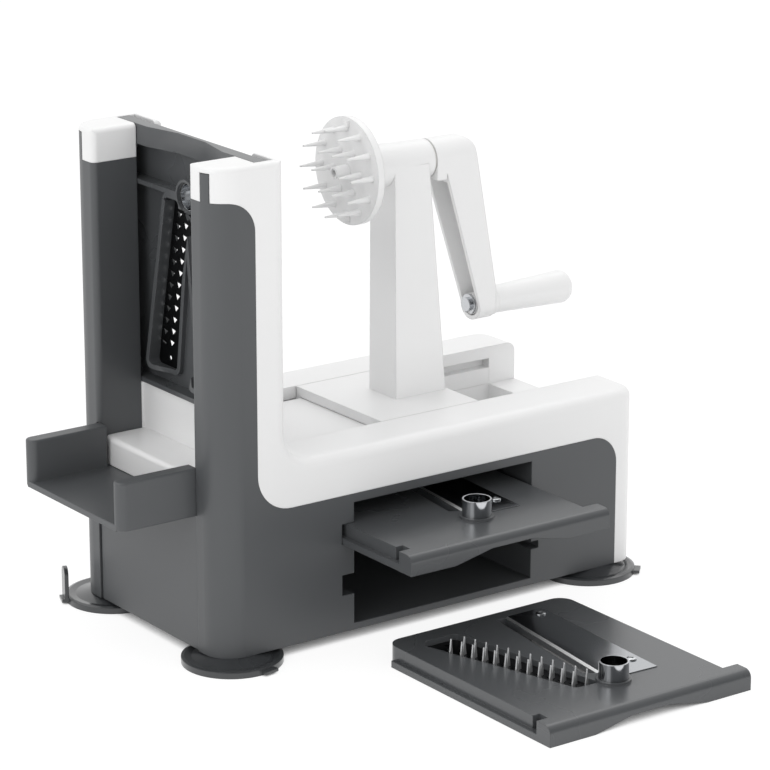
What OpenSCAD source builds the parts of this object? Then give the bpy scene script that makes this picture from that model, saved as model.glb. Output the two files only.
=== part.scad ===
// Hand cranked spiral slicer for vegetables, in millimetres.
// X runs from the blade end to the crank end, Y across the body and Z up from the table.
// The storage opening faces the front, which is negative Y.
// A blade cassette stands in the two posts, a second one is half drawn out of the storage
// opening, and a third one lies on the table in front.

/* [Body] */
// Length of the body from the blade end to the crank end
body_len = 254; // [248:1:280]
// Width of the body across the posts
body_w = 130; // [128:1:140]
// Height of the housing's underside over the table
underside_z = 5; // [4.5:0.5:7]
// Height of the seam where the upper housing sits on the lower one
seam_z = 75; // [75:0.5:80]
// Wall of the two housings
wall = 3; // [2.4:0.1:3.4]
// Corner radius of the body at the blade end, seen from above
column_r = 14; // [10:1:20]
// Corner radius of the body at the crank end, seen from above
end_r = 10; // [7:1:14]
// Rounding of the deck's outer edge
edge_r = 5; // [3:0.5:6]
// Height of the crank's axis over the table
axis_z = 216; // [206:1:226]

/* [Posts] */
// Length of a post along the body
post_len = 39; // [38:0.5:44]
// Clear width between the two posts
window_w = 85; // [78:1:88]
// Length of the grey column in each post
column_len = 22; // [21:0.5:22.5]
// Height of the white cap on each post
cap_h = 16.5; // [14:0.5:20]
// Radius of the seam at the top of a column
column_top_r = 15; // [8:1:17]
// Radius of the seam where a column meets the storage block
seam_fillet_r = 19; // [10:1:20]
// Radius of the seam at the crank end of the storage block
seam_end_r = 15; // [8:1:20]
// Fillet between a post and the deck
deck_fillet_r = 14; // [8:1:18]
// Rounding of the caps' upper edges
cap_r = 2.5; // [1.5:0.5:4]
// Width of the grey rib that stands in each cap
rib_w = 5; // [4:0.5:6]

/* [Deck and guide] */
// Clear width of the guide channel
channel_w = 74.6; // [72:0.2:76]
// Thickness of the channel's floor
floor_t = 2; // [2:0.5:3]
// Height of each guide rail
rail_h = 9; // [8:0.5:10]
// Thickness of each guide rail, which is the depth of the groove over it
rail_t = 5.4; // [4.6:0.2:6]
// Height of the groove that the runner moves in
groove_h = 5; // [4.5:0.5:6]
// Thickness of the lip over the groove
lip_t = 6.5; // [6:0.5:8]
// Width of the raised bed in the channel
bed_w = 66; // [60:1:68]
// Distance from the blade end to the front stop of the groove
groove_start = 48; // [44:1:48]
// Distance from the crank end to the rear stop of the groove
groove_end = 17; // [15:1:18]
// Distance from the crank end to the end of the raised bed
bed_end = 97; // [90:1:110]
// Length of the well at the rear of the channel
well_len = 38; // [30:1:38]
// Depth of the well under the channel's floor
well_depth = 30; // [20:1:36]

/* [Blade cassettes] */
// Length of a cassette from the outer face of its handle
cassette_len = 130; // [128:1:132]
// Thickness of a cassette
cassette_t = 10; // [9.5:0.5:10.5]
// Thickness of a cassette's face
face_t = 3; // [2.5:0.5:3.5]
// Thickness of a cassette's walls and ribs
cassette_wall = 2.4; // [2:0.2:3]
// Corner radius of a cassette's far end
cassette_r = 8; // [5:0.5:9]
// Thickness of the tongue and the ledge
ledge_t = 3.4; // [3:0.2:4]
// Thickness of the handle at the end of a cassette
handle_t = 10; // [7:0.5:11]
// Height of the handle
handle_h = 10; // [10:0.5:12]
// Width of the tongue on one side of a cassette
tongue_w = 2.5; // [2:0.5:3]
// Width of the ledge on the other side of a cassette
ledge_w = 9; // [7:0.5:10]
// Distance from the handle's outer face to the corer
corer_setback = 28.5; // [27:0.5:30]
// Outer diameter of the corer
corer_d = 14.4; // [13:0.2:15]
// Wall of the corer
corer_wall = 0.8; // [0.6:0.1:1.2]
// Height of the corer over the cassette's face
corer_h = 9.5; // [8:0.5:10]
// Thickness of the sheet steel of blades and combs
steel_t = 0.8; // [0.6:0.1:1]
// Spacing of the teeth
tooth_pitch = 6.35; // [6:0.05:7]
// Height of the coarse teeth over the cassette's face
coarse_tooth_h = 5; // [4:0.5:6]
// Width of a coarse tooth at its root
coarse_tooth_w = 5; // [4:0.2:5.4]
// Height of the fine teeth over the cassette's face
fine_tooth_h = 6.5; // [5:0.5:7]
// Width of a fine tooth at its root
fine_tooth_w = 3; // [2:0.2:4]

/* [Storage] */
// Distance from the crank end to the middle of the storage opening
storage_setback = 123.5; // [122:0.5:124]
// Height of the storage opening
opening_h = 62; // [60:0.5:62]
// Depth of the ledges that carry a stored cassette
shelf_w = 5.5; // [4:0.5:7]
// Spacing of the two storage levels
level_pitch = 26; // [24:0.5:27]
// Height of a cassette over the storage floor on the upper level
upper_level = 41.7; // [40:0.1:43]
// How far the stored cassette is drawn out
drawn_out = 46; // [20:1:48]

/* [Carriage and crank] */
// Distance from the blade end to the front edge of the carriage
carriage_setback = 113.5; // [100:1:120]
// Length of the carriage's slab
slab_len = 60; // [56:1:62]
// Thickness of the slab
slab_t = 5; // [4.5:0.5:6]
// Distance from the slab's front edge to the front of its post
mast_setback = 27.5; // [25:0.5:30]
// Length of the post's foot along the body
mast_foot = 31; // [28:0.5:32]
// Length of the post's head along the body
mast_head = 21; // [18:0.5:24]
// Width of the post's foot
mast_w = 23; // [21:0.5:26]
// Outer diameter of the hub at the disc
hub_d = 22.4; // [21:0.2:24]
// Length of the hub
hub_len = 36.5; // [36:0.5:39]
// Diameter of the drive shaft
shaft_d = 10; // [8:0.5:10]
// Diameter of the food disc
disc_d = 54; // [50:1:58]
// Thickness of the food disc
disc_t = 3.8; // [3:0.2:5]
// Length of the disc's spikes
spike_len = 13; // [8:0.5:13.5]
// Diameter of a spike at its root
spike_d = 3.6; // [3:0.1:4]
// Distance between the crank's axis and the grip's axis
throw = 80; // [70:1:84]
// Diameter of the crank arm at its hub
arm_d = 20; // [19:0.5:21]
// Diameter of the crank arm at its outer end
arm_end_d = 16.6; // [15:0.2:18]
// Wall of the crank arm
arm_wall = 2.2; // [1.8:0.1:2.4]
// Length of the grip
grip_len = 52; // [46:1:60]
// Diameter of the grip at its outer end
grip_d = 17.2; // [16:0.2:18]
// Diameter of the grip's pin
pin_d = 7; // [6:0.5:7.5]

/* [Tray and feet] */
// How far the tray reaches out from the blade end
tray_reach = 42; // [36:1:48]
// Width of the tray and of the panel under it
tray_w = 90; // [88:1:92]
// Height of the tray's walls
tray_h = 24; // [20:1:26]
// Thickness of the tray's walls
tray_wall = 8; // [6:0.5:9]
// Thickness of the tray's floor
tray_floor_t = 3; // [2.4:0.2:4]
// Diameter of a suction foot
foot_d = 49.4; // [46:0.2:50]
// Distance from the blade end to the feet there
foot_setback_blade = 13.5; // [13:0.5:15]
// Distance from the crank end to the feet there
foot_setback_crank = 22.5; // [20:0.5:24]
// Distance from the side of the body to the feet's centres
foot_inset = 11.2; // [10.6:0.2:12]

/* [Fits] */
// Gap between parts that move past each other
slide_gap = 0.3; // [0.3:0.05:0.5]
// Radial gap of a turning fit
turn_gap = 0.05; // [0.03:0.01:0.1]
// Gap of an edge that shows as a seam
seam_gap = 0.3; // [0.2:0.05:0.4]

/* [Hidden] */
$fn = 64;
// How far a cut runs past the face that it opens
over = 1;
// How far a round corner stands out past the straight sides that meet it
corner_proud = 0.02;

blade_x = -body_len / 2;
crank_x = body_len / 2;
side_y = body_w / 2;
column_x = blade_x + column_len;
post_x = blade_x + post_len;
leg_len = 13.3;
leg_x = crank_x - leg_len;
window_y = window_w / 2;
post_wall_y = window_y + wall;

// Heights of the deck, from the seam upwards
channel_z = seam_z + floor_t;
rail_z = channel_z + rail_h;
lip_z = rail_z + groove_h;
deck_z = lip_z + lip_t;
bed_z = deck_z - slab_t - slide_gap;
channel_y = channel_w / 2;
groove_y = channel_y + rail_t;
bed_y = bed_w / 2;
groove_x0 = blade_x + groove_start;
groove_x1 = crank_x - groove_end;
bed_x = crank_x - bed_end;
well_x = groove_x1 - well_len;
well_z = channel_z - well_depth;
well_wall = 2;
trough_drop = 1.5;

// The standing cassette hangs with its handle flush with the caps
top_z = axis_z + corer_setback;
column_top_z = top_z - cap_h;
seat_z = top_z - cassette_len - slide_gap;
skin_t = 3.5;
skin_y = side_y - skin_t;
window_edge_r = 3;
rib_inset = 10;
rib_back = 3;
rib_drop = 3;
rib_y = window_y + rib_inset;
rib_depth = wall + rib_back;
rib_top_z = top_z - rib_drop;
cassette_wall_y = 4.7;
cassette_w = 2 * (side_y - cassette_wall_y - slide_gap);
cassette_back = 25;
cassette_x = blade_x + cassette_back;
slot_x0 = cassette_x - slide_gap;
slot_x1 = cassette_x + cassette_t + slide_gap;
handle_drop = (handle_h - cassette_t) / 2;
riser_inset = 1;
riser_x = cassette_x + riser_inset;
riser_ledge = 2.2;
riser_back_x = slot_x1 + riser_ledge;
step_h = 15.5;
step_front = 3;
step_r = 2.5;
step_x = blade_x + step_front;

// The storage block
storage_x = crank_x - storage_setback;
bay_floor_t = 3.5;
bay_z = underside_z + bay_floor_t;
bay_top_z = bay_z + opening_h;
bay_half = cassette_w / 2 + slide_gap;
opening_half = bay_half - shelf_w;
opening_shift = 1.5;
upper_z = bay_z + upper_level;
lower_z = upper_z - level_pitch;
bay_back_y = side_y - wall;
bay_wall = 3.2;
bay_x0 = storage_x - bay_half - bay_wall;
bay_x1 = storage_x + bay_half + bay_wall;
stored_y = -side_y - slide_gap - handle_t - drawn_out;

// The loose cassette lies flat in front of the body
loose_shift = 0.5;
loose_reach = 162.8;
loose_x = storage_x - loose_shift;
loose_y = -side_y - loose_reach;

// The carriage
slab_x = blade_x + carriage_setback;
slab_y = channel_y - slide_gap;
skirt_y = bed_y + slide_gap;
tongue_y = groove_y - slide_gap;
runner_z = rail_z + slide_gap;
runner_top_z = lip_z - slide_gap;
mast_x = slab_x + mast_setback;
mast_wall = 2.4;
mast_taper = 1;
hub_overhang = 11;
hub_x = mast_x - hub_overhang;
hub_end_x = hub_x + hub_len;
hub_end_d = arm_d;
bush_d = 17;
bush_len = 8;
bush_lip = 0.8;
bush_rim = 1;

// The disc and its spikes
disc_gap = 7;
disc_x = hub_x - disc_gap;
disc_front_x = disc_x - disc_t;
disc_boss_d = 18;
tube_d = 6;
tube_wall = 1;
tube_len = 8;
tube_taper = 1;
tab_h = 1;
tab_w = 5;
tab_t = 3;
tab_r_share = 0.44;
spike_tip_share = 0.25;
ring_spikes = [12, 6];
ring_r_shares = [0.8, 0.42];

// The crank arm, as places along X from its inner face and heights from the axis
arm_x = hub_end_x + bush_lip + slide_gap;
arm_hub_len = 24;
arm_round = 7;
arm_neck = 6;
arm_ease = 1;
pin_boss_wall = 2;
arm_lean = 14.5;
arm_inner_lean = 28.5;
arm_foot_len = 10;
arm_end_z = axis_z - throw;
arm_out_x = arm_x + arm_hub_len + arm_lean;
arm_in_x = arm_x + arm_inner_lean;
shaft_seat = 15;
shaft_end_x = arm_x + shaft_seat;
grip_x = arm_out_x + slide_gap;
grip_neck_d = 15.2;
grip_round = 5;
grip_collar_len = 2.5;
grip_waist = 0.6;
clip_t = 1.6;
clip_d = 10.5;
clip_groove = 1;
clip_bite = 0.4;

// The tray and the panel
panel_t = 3;
panel_seat_t = 2;
panel_inset = 0.8;
panel_x = blade_x + panel_inset;
panel_back_x = panel_x + panel_t + panel_seat_t;
tray_drop = 2;
tray_z = seam_z - tray_drop;
tray_ease = 1;
tray_top_z = tray_z + tray_h;

// The feet
foot_blade_x = blade_x + foot_setback_blade;
foot_crank_x = crank_x - foot_setback_crank;
foot_y = side_y - foot_inset;
foot_lip_h = 3;
foot_crown_d = 24;
foot_stem_d = 6;
foot_stem_h = 8;
foot_boss_d = 16;
foot_tie_w = 6;
foot_lip_w = 2;
foot_lip_bevel = 1.5;
foot_shoulder = 5;
foot_ease = 0.5;
foot_stem_ease = 1;
foot_skin = 1;
foot_tab_w = 8;
foot_tab_len = 3;
foot_tab_t = 2;
foot_tab_lift = 1;
foot_tab_h = 19;
foot_boss_h = foot_stem_h + wall;
cover_t = 2.5;
cover_z = underside_z + cover_t;
screw_d = 3;
screw_head_d = 6;
screw_head_h = 1.8;
screw_len = 10;
boss_d = 8;
boss_gap = 1;

grey = [0.36, 0.37, 0.38];
white = [0.93, 0.93, 0.93];
steel = [0.72, 0.73, 0.75];
rubber = [0.25, 0.26, 0.27];

// Shared shapes

// A rectangle with four round corners, centred
module rounded_rect(len, width, r) {
    square([len - 2 * r, width], center = true);
    square([len, width - 2 * r], center = true);
    for (sx = [-1, 1], sy = [-1, 1])
        translate([sx * (len / 2 - r), sy * (width / 2 - r)]) circle(r);
}

// What rounding removes from a square corner that points up and to the right
module corner_waste(r) {
    difference() {
        square(r + over);
        circle(r);
    }
}

// A box between two corners
module block(low, high) {
    translate(low) cube(high - low);
}

// Extrudes a side view, drawn in X and Z, over a width that is centred on the body
module across(width) {
    rotate([90, 0, 0]) linear_extrude(width, center = true) children();
}

// The same thing on the front and on the back
module both_sides() {
    children();
    mirror([0, 1, 0]) children();
}

// A cylinder along X
module rod(x0, x1, d0, d1, z) {
    translate([x0, 0, z]) rotate([0, 90, 0]) cylinder(h = x1 - x0, d1 = d0, d2 = d1);
}

// The body seen from above, with an even inset for inner faces
module body_outline(inset) {
    intersection() {
        translate([crank_x, 0]) rounded_rect(2 * (body_len - inset), body_w - 2 * inset, column_r - inset);
        translate([blade_x, 0]) rounded_rect(2 * (body_len - inset), body_w - 2 * inset, end_r - inset);
    }
}

module body_block(inset, z0, z1) {
    translate([0, 0, z0]) linear_extrude(z1 - z0) body_outline(inset);
}

// Side view of the grey lower housing: the storage block and the columns
module lower_side() {
    difference() {
        union() {
            translate([blade_x, underside_z]) square([body_len - leg_len, seam_z - underside_z]);
            translate([blade_x, underside_z]) square([column_len, column_top_z - underside_z]);
            translate([column_x, seam_z]) square(seam_fillet_r);
        }
        translate([column_x + seam_fillet_r, seam_z + seam_fillet_r]) circle(seam_fillet_r);
        translate([column_x - column_top_r, column_top_z - column_top_r]) corner_waste(column_top_r);
        translate([leg_x - seam_end_r, seam_z - seam_end_r]) corner_waste(seam_end_r);
    }
}

// The space of the lower housing. Over the seam, the curved line of the side view holds for the
// outer skin alone. Behind it each column reaches back to the cassette, and nothing stands between.
module lower_region() {
    reach_x = column_x + seam_fillet_r + over;
    difference() {
        across(body_w + 2 * over) lower_side();
        block([blade_x - over, -skin_y, seam_z], [reach_x, skin_y, top_z]);
    }
    both_sides() block([blade_x - over, window_y, seam_z - over], [slot_x0, skin_y, column_top_z]);
}

// Side view of the whole body
module full_side() {
    difference() {
        union() {
            translate([blade_x, underside_z]) square([body_len, deck_z - underside_z]);
            translate([blade_x, underside_z]) square([post_len, top_z - underside_z]);
            translate([post_x, deck_z]) square(deck_fillet_r);
        }
        translate([post_x + deck_fillet_r, deck_z + deck_fillet_r]) circle(deck_fillet_r);
        translate([crank_x - edge_r, deck_z - edge_r]) corner_waste(edge_r);
        translate([post_x - cap_r, top_z - cap_r]) corner_waste(cap_r);
    }
}

// Where the screws of the two bottom covers go
cover_boss_x = [bay_x0 - boss_d / 2 + over, panel_back_x + (boss_d - over) / 2,
                bay_x1 + boss_d / 2 - over, crank_x - wall - boss_d / 2 + over];
cover_boss_in_y = foot_y - foot_boss_d / 2 - boss_gap - boss_d / 2;
cover_boss_out_y = side_y - wall - boss_d / 2 + over;
cover_boss_y = [cover_boss_in_y, cover_boss_in_y, cover_boss_out_y, cover_boss_in_y];
// Where the screws between the two housings go
housing_boss_x = (post_x + bay_x0) / 2;
housing_boss_y = (groove_y + wall + side_y - wall) / 2;

module at_cover_bosses(list) {
    for (i = list, side = [-1, 1]) translate([cover_boss_x[i], side * cover_boss_y[i], 0]) children();
}

module at_housing_bosses() {
    for (side = [-1, 1]) translate([housing_boss_x, side * housing_boss_y, 0]) children();
}

// Lower housing

module base_housing() {
    color(grey) {
        difference() {
            intersection() {
                body_block(0, underside_z, column_top_z);
                lower_region();
            }
            base_cuts();
        }
        both_sides() column_rib();
        difference() {
            union() {
                at_cover_bosses([0, 1]) boss(cover_z, seam_z - wall + over);
                at_cover_bosses([2]) boss(cover_z, bay_top_z);
                intersection() {
                    body_block(0, underside_z, bay_top_z);
                    foot_bosses();
                }
            }
            at_cover_bosses([0, 1, 2]) screw_hole(cover_z);
            at_feet() cylinder(h = underside_z + foot_stem_h + over / 2, d = foot_stem_d + 2 * turn_gap);
        }
    }
}

module base_cuts() {
    // The seat of the end panel
    block([blade_x - over, -tray_w / 2, underside_z - over],
          [panel_x + panel_t, tray_w / 2, tray_z + tray_floor_t]);
    block([blade_x - over, -tray_w / 2, seam_z - over], [panel_x, tray_w / 2, tray_top_z + seam_gap]);
    window_edge_waste(tray_z, column_top_z);
    // The hollow under the blade end
    intersection() {
        body_block(wall, underside_z - over, seam_z - wall);
        block([panel_back_x, -side_y, underside_z - over], [bay_x0, side_y, seam_z]);
    }
    // The hollow at the crank end
    intersection() {
        body_block(wall, underside_z - over, seam_z + over);
        block([bay_x1, -side_y, underside_z - over], [crank_x, side_y, seam_z + over]);
    }
    // The hollows of the columns
    both_sides() intersection() {
        body_block(wall, seam_z - wall - over, column_top_z - column_top_r);
        block([blade_x, post_wall_y, seam_z - wall - over], [column_x - wall, side_y, top_z]);
    }
    storage_bay();
    at_housing_bosses() {
        translate([0, 0, seam_z - wall - over]) cylinder(h = wall + 2 * over, d = screw_d + 2 * slide_gap);
        translate([0, 0, seam_z - wall - screw_head_h - slide_gap])
            cylinder(h = screw_head_h + slide_gap, d = screw_head_d + 2 * slide_gap);
    }
    at_feet() cylinder(h = underside_z + foot_stem_h + over / 2, d = foot_stem_d + 2 * turn_gap);
}

// The opening for two cassettes, with a groove on both sides of each level
module storage_bay() {
    block([storage_x - opening_half + opening_shift, -side_y - over, bay_z],
          [storage_x + opening_half + opening_shift / 2, bay_back_y, bay_top_z]);
    for (level = [lower_z, upper_z]) {
        block([storage_x - bay_half, -side_y - over, level - slide_gap],
              [storage_x, bay_back_y, level + cassette_t + slide_gap]);
        block([storage_x, -side_y - over, level - slide_gap],
              [storage_x + bay_half, bay_back_y, level + ledge_t + slide_gap]);
    }
}

// The thin rib that stands in the notch of a cap
module column_rib() {
    intersection() {
        body_block(0, column_top_z - over, top_z);
        block([blade_x, rib_y, column_top_z - over], [blade_x + rib_depth, rib_y + rib_w, rib_top_z]);
    }
}

// The bosses that the feet plug into, each tied to the side wall
module foot_bosses() {
    at_feet() cylinder(h = underside_z + foot_boss_h, d = foot_boss_d);
    both_sides() for (x = [foot_blade_x, foot_crank_x])
        block([x - foot_tie_w / 2, foot_y, cover_z + seam_gap],
              [x + foot_tie_w / 2, side_y - wall + over, underside_z + foot_boss_h]);
}

module at_feet() {
    for (x = [foot_blade_x, foot_crank_x], side = [-1, 1]) translate([x, side * foot_y, 0]) children();
}

module boss(z0, z1) {
    translate([0, 0, z0]) cylinder(h = z1 - z0, d = boss_d);
}

module screw_hole(z0) {
    translate([0, 0, z0 - over]) cylinder(h = screw_len + 2 * over, d = screw_d);
}

// Upper housing

module top_housing() {
    color(white) difference() {
        union() {
            difference() {
                intersection() {
                    body_block(0, underside_z, top_z);
                    across(body_w + 2 * over) full_side();
                }
                lower_region();
                // The way between the posts
                block([blade_x - over, -window_y, deck_z],
                      [post_x + deck_fillet_r + over, window_y, top_z + over]);
                block([blade_x - over, -window_y, seam_z - over], [riser_x, window_y, top_z + over]);
                upper_hollows();
            }
            riser_and_step();
            well_box();
            intersection() {
                body_block(over, seam_z, deck_z);
                union() {
                    at_housing_bosses() boss(seam_z, deck_z - over);
                    at_cover_bosses([3]) boss(cover_z, seam_z + floor_t);
                }
            }
            at_cover_bosses([3]) boss(cover_z, seam_z + over);
        }
        channel();
        deck_edge_waste();
        both_sides() cap_notch();
        window_edge_waste(seam_z + step_h, top_z);
        cassette_slot();
        at_housing_bosses() screw_hole(seam_z);
        at_cover_bosses([3]) screw_hole(cover_z);
    }
}

// The hollows under the deck, in the end leg, in the posts and in the caps
module upper_hollows() {
    both_sides() intersection() {
        body_block(wall, seam_z - over, deck_z - wall);
        block([post_x + wall, groove_y + wall, seam_z - over], [groove_x1, side_y, deck_z]);
    }
    intersection() {
        body_block(wall, underside_z - over, seam_z);
        block([leg_x - over, -side_y, underside_z - over], [crank_x, side_y, seam_z]);
    }
    block([riser_x, -bed_y + wall, seam_z - over], [bed_x - wall, bed_y - wall, bed_z - wall]);
    both_sides() block([slot_x0, post_wall_y, seam_z - over],
                       [slot_x1, side_y - cassette_wall_y, seat_z - wall]);
    both_sides() intersection() {
        body_block(wall, column_top_z - column_top_r, top_z - wall);
        block([blade_x, post_wall_y, column_top_z - column_top_r], [column_x - wall, side_y, top_z - wall]);
    }
}

// The white wall under the standing cassette and the step that leads to the tray
module riser_and_step() {
    step_y = window_y - seam_gap;
    difference() {
        union() {
            block([riser_x, -window_y, seam_z], [riser_back_x, window_y, seat_z]);
            step_block(step_y);
        }
        block([panel_back_x + wall, -step_y + wall, seam_z - over],
              [riser_x + wall, step_y - wall, seam_z + step_h - wall]);
        block([riser_x + wall, -window_y + wall, seam_z - over],
              [riser_back_x - wall, window_y - wall, seat_z - wall]);
    }
}

// The step with its rounded upper edge, which reaches over the end panel
module step_block(half) {
    len = riser_x + over - step_x;
    low = tray_z + tray_floor_t + seam_gap;
    difference() {
        block([step_x, -half, low], [step_x + len, half, seam_z + step_h]);
        translate([step_x + step_r, 0, seam_z + step_h - step_r]) rotate([90, 0, 180])
            linear_extrude(body_w, center = true) corner_waste(step_r);
        both_sides() translate([step_x + step_r, half - step_r, low - over]) rotate(90)
            linear_extrude(step_h + tray_h) corner_waste(step_r);
    }
    block([panel_back_x, -half, seam_z], [riser_x + over, half, seam_z + step_h - step_r]);
}

// The box that hangs under the rear of the channel
module well_box() {
    block([well_x - well_wall, -channel_y - well_wall, well_z - well_wall],
          [groove_x1 + well_wall, channel_y + well_wall, channel_z]);
}

// The guide channel with its raised bed, its grooves and its well
module channel() {
    block([riser_back_x, -channel_y, bed_z], [bed_x + over, channel_y, deck_z + over]);
    block([bed_x, -channel_y, channel_z], [crank_x + over, channel_y, deck_z + over]);
    both_sides() block([groove_x0, bed_y, rail_z - trough_drop], [bed_x + over, channel_y, bed_z + over]);
    both_sides() block([groove_x0, channel_y - over, channel_z], [groove_x1, groove_y, lip_z]);
    block([well_x, -channel_y, well_z], [groove_x1, channel_y, channel_z + over]);
}

// What the rounding takes off the posts' edges beside the way between them
module window_edge_waste(z0, z1) {
    both_sides() translate([blade_x + window_edge_r, window_y + window_edge_r, z0 - over]) rotate(180)
        linear_extrude(z1 - z0 + 2 * over) corner_waste(window_edge_r);
}

// What the rounding takes off the caps, the deck's outer edge, the fillets and the posts' rear edges
module deck_edge_waste() {
    straight_x = post_x + deck_fillet_r;
    end_len = crank_x - end_r;
    both_sides() {
        // The upper edge of the cap, round the column's corner and along the side
        translate([blade_x + column_r, side_y - column_r, top_z - cap_r]) rotate(90)
            rotate_extrude(angle = 90) translate([column_r - cap_r, 0]) corner_waste(cap_r);
        translate([blade_x + column_r, side_y - cap_r, top_z - cap_r])
            rotate([90, 0, 90]) linear_extrude(post_len) corner_waste(cap_r);
        translate([blade_x + cap_r, side_y - column_r, top_z - cap_r]) rotate([90, 0, 0])
            linear_extrude(side_y - column_r - window_y + over) mirror([1, 0]) corner_waste(cap_r);
        translate([blade_x - over, window_y + cap_r, top_z - cap_r]) rotate([90, 0, 90])
            linear_extrude(post_len + 2 * over) mirror([1, 0]) corner_waste(cap_r);
        translate([straight_x, side_y - edge_r, deck_z - edge_r])
            rotate([90, 0, 90]) linear_extrude(end_len - straight_x) corner_waste(edge_r);
        translate([straight_x, side_y, deck_z + deck_fillet_r]) rotate([90, 0, 0]) rotate(180)
            rotate_extrude(angle = 90) translate([deck_fillet_r + edge_r, edge_r]) mirror([1, 1])
                corner_waste(edge_r);
        translate([post_x - edge_r, side_y - edge_r, deck_z + deck_fillet_r])
            linear_extrude(top_z - deck_z) corner_waste(edge_r);
        translate([end_len, side_y - end_r, deck_z - edge_r])
            rotate_extrude(angle = 90) translate([end_r - edge_r, 0]) corner_waste(edge_r);
    }
}

// The notch in a cap for the grey rib
module cap_notch() {
    block([blade_x - over, rib_y - seam_gap, column_top_z - over],
          [blade_x + rib_depth + seam_gap, rib_y + rib_w + seam_gap, rib_top_z + seam_gap]);
}

// The slot that the cassette drops into, wider at the top for its handle
module cassette_slot() {
    half = cassette_w / 2 + slide_gap;
    block([slot_x0, -half, seat_z], [slot_x1, half, top_z + over]);
    block([slot_x0 - handle_drop, -half, top_z - handle_t - slide_gap],
          [slot_x1 + handle_drop, half, top_z + over]);
}

// Smaller fixed parts

module guide_rail() {
    block([groove_x0, channel_y, channel_z], [groove_x1, groove_y, rail_z]);
}

module guide_rail_front() {
    color(white) mirror([0, 1, 0]) guide_rail();
}

module guide_rail_back() {
    color(white) guide_rail();
}

// The end panel with the shelf that catches the spirals
module catch_tray() {
    half = tray_w / 2;
    wall_r = tray_wall / 2;
    color(grey) {
        block([panel_x, -half + seam_gap, underside_z], [panel_x + panel_t, half - seam_gap, tray_z + tray_floor_t]);
        block([blade_x - tray_reach, -half + wall_r, tray_z], [panel_x, half - wall_r, tray_z + tray_floor_t]);
        for (side = [-1, 1]) translate([0, side * (half - wall_r - seam_gap), tray_z]) tray_side(wall_r);
    }
}

// A side wall of the tray, with a round end and softened top and bottom edges
module tray_side(r) {
    x0 = blade_x - tray_reach + r;
    ease = tray_ease;
    rotate([90, 0, 90]) translate([0, 0, x0]) linear_extrude(panel_x - x0) {
        translate([0, tray_h / 2]) square([2 * r, tray_h - 2 * ease], center = true);
        translate([0, tray_h / 2]) square([2 * (r - ease), tray_h], center = true);
        for (sy = [-1, 1], sz = [0, 1])
            translate([sy * (r - ease), ease + sz * (tray_h - 2 * ease)]) circle(ease);
    }
    translate([x0, 0, 0]) rotate_extrude() {
        translate([0, ease]) square([r, tray_h - 2 * ease]);
        square([r - ease, tray_h]);
        for (sz = [0, 1]) translate([r - ease, ease + sz * (tray_h - 2 * ease)]) circle(ease);
    }
}

// A bottom cover with holes for two feet and four screws
module cover(x0, x1, foot_x, bosses) {
    color(grey) difference() {
        intersection() {
            body_block(wall + seam_gap, underside_z, cover_z);
            block([x0 + seam_gap, -side_y, underside_z], [x1 - seam_gap, side_y, cover_z]);
        }
        for (side = [-1, 1])
            translate([foot_x, side * foot_y, underside_z - over])
                cylinder(h = cover_t + 2 * over, d = foot_boss_d + 2 * seam_gap);
        // The corners beyond the feet at the blade end
        both_sides() block([blade_x, foot_y, underside_z - over], [foot_blade_x, side_y, cover_z + over]);
        at_cover_bosses(bosses) {
            translate([0, 0, underside_z - over]) cylinder(h = cover_t + 2 * over, d = screw_d + seam_gap);
            translate([0, 0, underside_z - over]) cylinder(h = screw_head_h + over, d = screw_head_d + seam_gap);
        }
    }
}

module blade_end_cover() {
    cover(panel_back_x, bay_x0, foot_blade_x, [0, 1]);
}

module crank_end_cover() {
    cover(bay_x1, crank_x - wall, foot_crank_x, [2, 3]);
}

// A screw with a flat head, pointing up
module screw(len) {
    cylinder(h = screw_head_h, d = screw_head_d);
    translate([0, 0, screw_head_h]) cylinder(h = len, d = screw_d);
}

module cover_screws() {
    color(steel) at_cover_bosses([0, 1, 2, 3]) translate([0, 0, underside_z]) screw(screw_len);
}

module housing_screws() {
    color(steel) at_housing_bosses() translate([0, 0, seam_z - wall - screw_head_h]) screw(screw_len);
}

// A suction foot with a thick lip, a hollow underside, a stem that plugs into its boss
// and a tab that breaks the suction
module foot(x, y, tab_angle, tab_top = foot_lip_h - foot_ease) {
    lip_r = foot_d / 2;
    tab_root = lip_r - foot_lip_bevel;
    shoulder_r = lip_r - foot_shoulder;
    crown_r = foot_crown_d / 2;
    stem_top = underside_z + foot_stem_h;
    color(rubber) translate([x, y, 0]) {
        rotate_extrude() difference() {
            polygon([[0, 0], [lip_r, 0], [lip_r, foot_lip_h], [lip_r - foot_lip_bevel, foot_lip_h + foot_ease],
                     [shoulder_r, foot_lip_h], [crown_r, underside_z], [foot_stem_d / 2, underside_z],
                     [foot_stem_d / 2, stem_top - foot_stem_ease], [foot_stem_d / 2 - foot_stem_ease, stem_top],
                     [0, stem_top]]);
            polygon([[0, -over], [lip_r - foot_lip_w, -over], [lip_r - foot_lip_w, 0],
                     [crown_r, foot_lip_h - foot_skin], [0, foot_lip_h - foot_skin]]);
        }
        rotate(tab_angle) {
            block([tab_root, -foot_tab_w / 2, foot_tab_lift],
                  [lip_r + foot_tab_len, foot_tab_w / 2, foot_lip_h - foot_ease]);
            // A tab that stands up, with a round top
            if (tab_top > foot_lip_h) rotate([90, 0, 90]) translate([0, 0, lip_r - foot_ease])
                linear_extrude(foot_tab_t) {
                    translate([-foot_tab_w / 2, foot_tab_lift])
                        square([foot_tab_w, tab_top - foot_tab_w / 2 - foot_tab_lift]);
                    translate([0, tab_top - foot_tab_w / 2]) circle(foot_tab_w / 2);
                }
        }
    }
}

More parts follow.
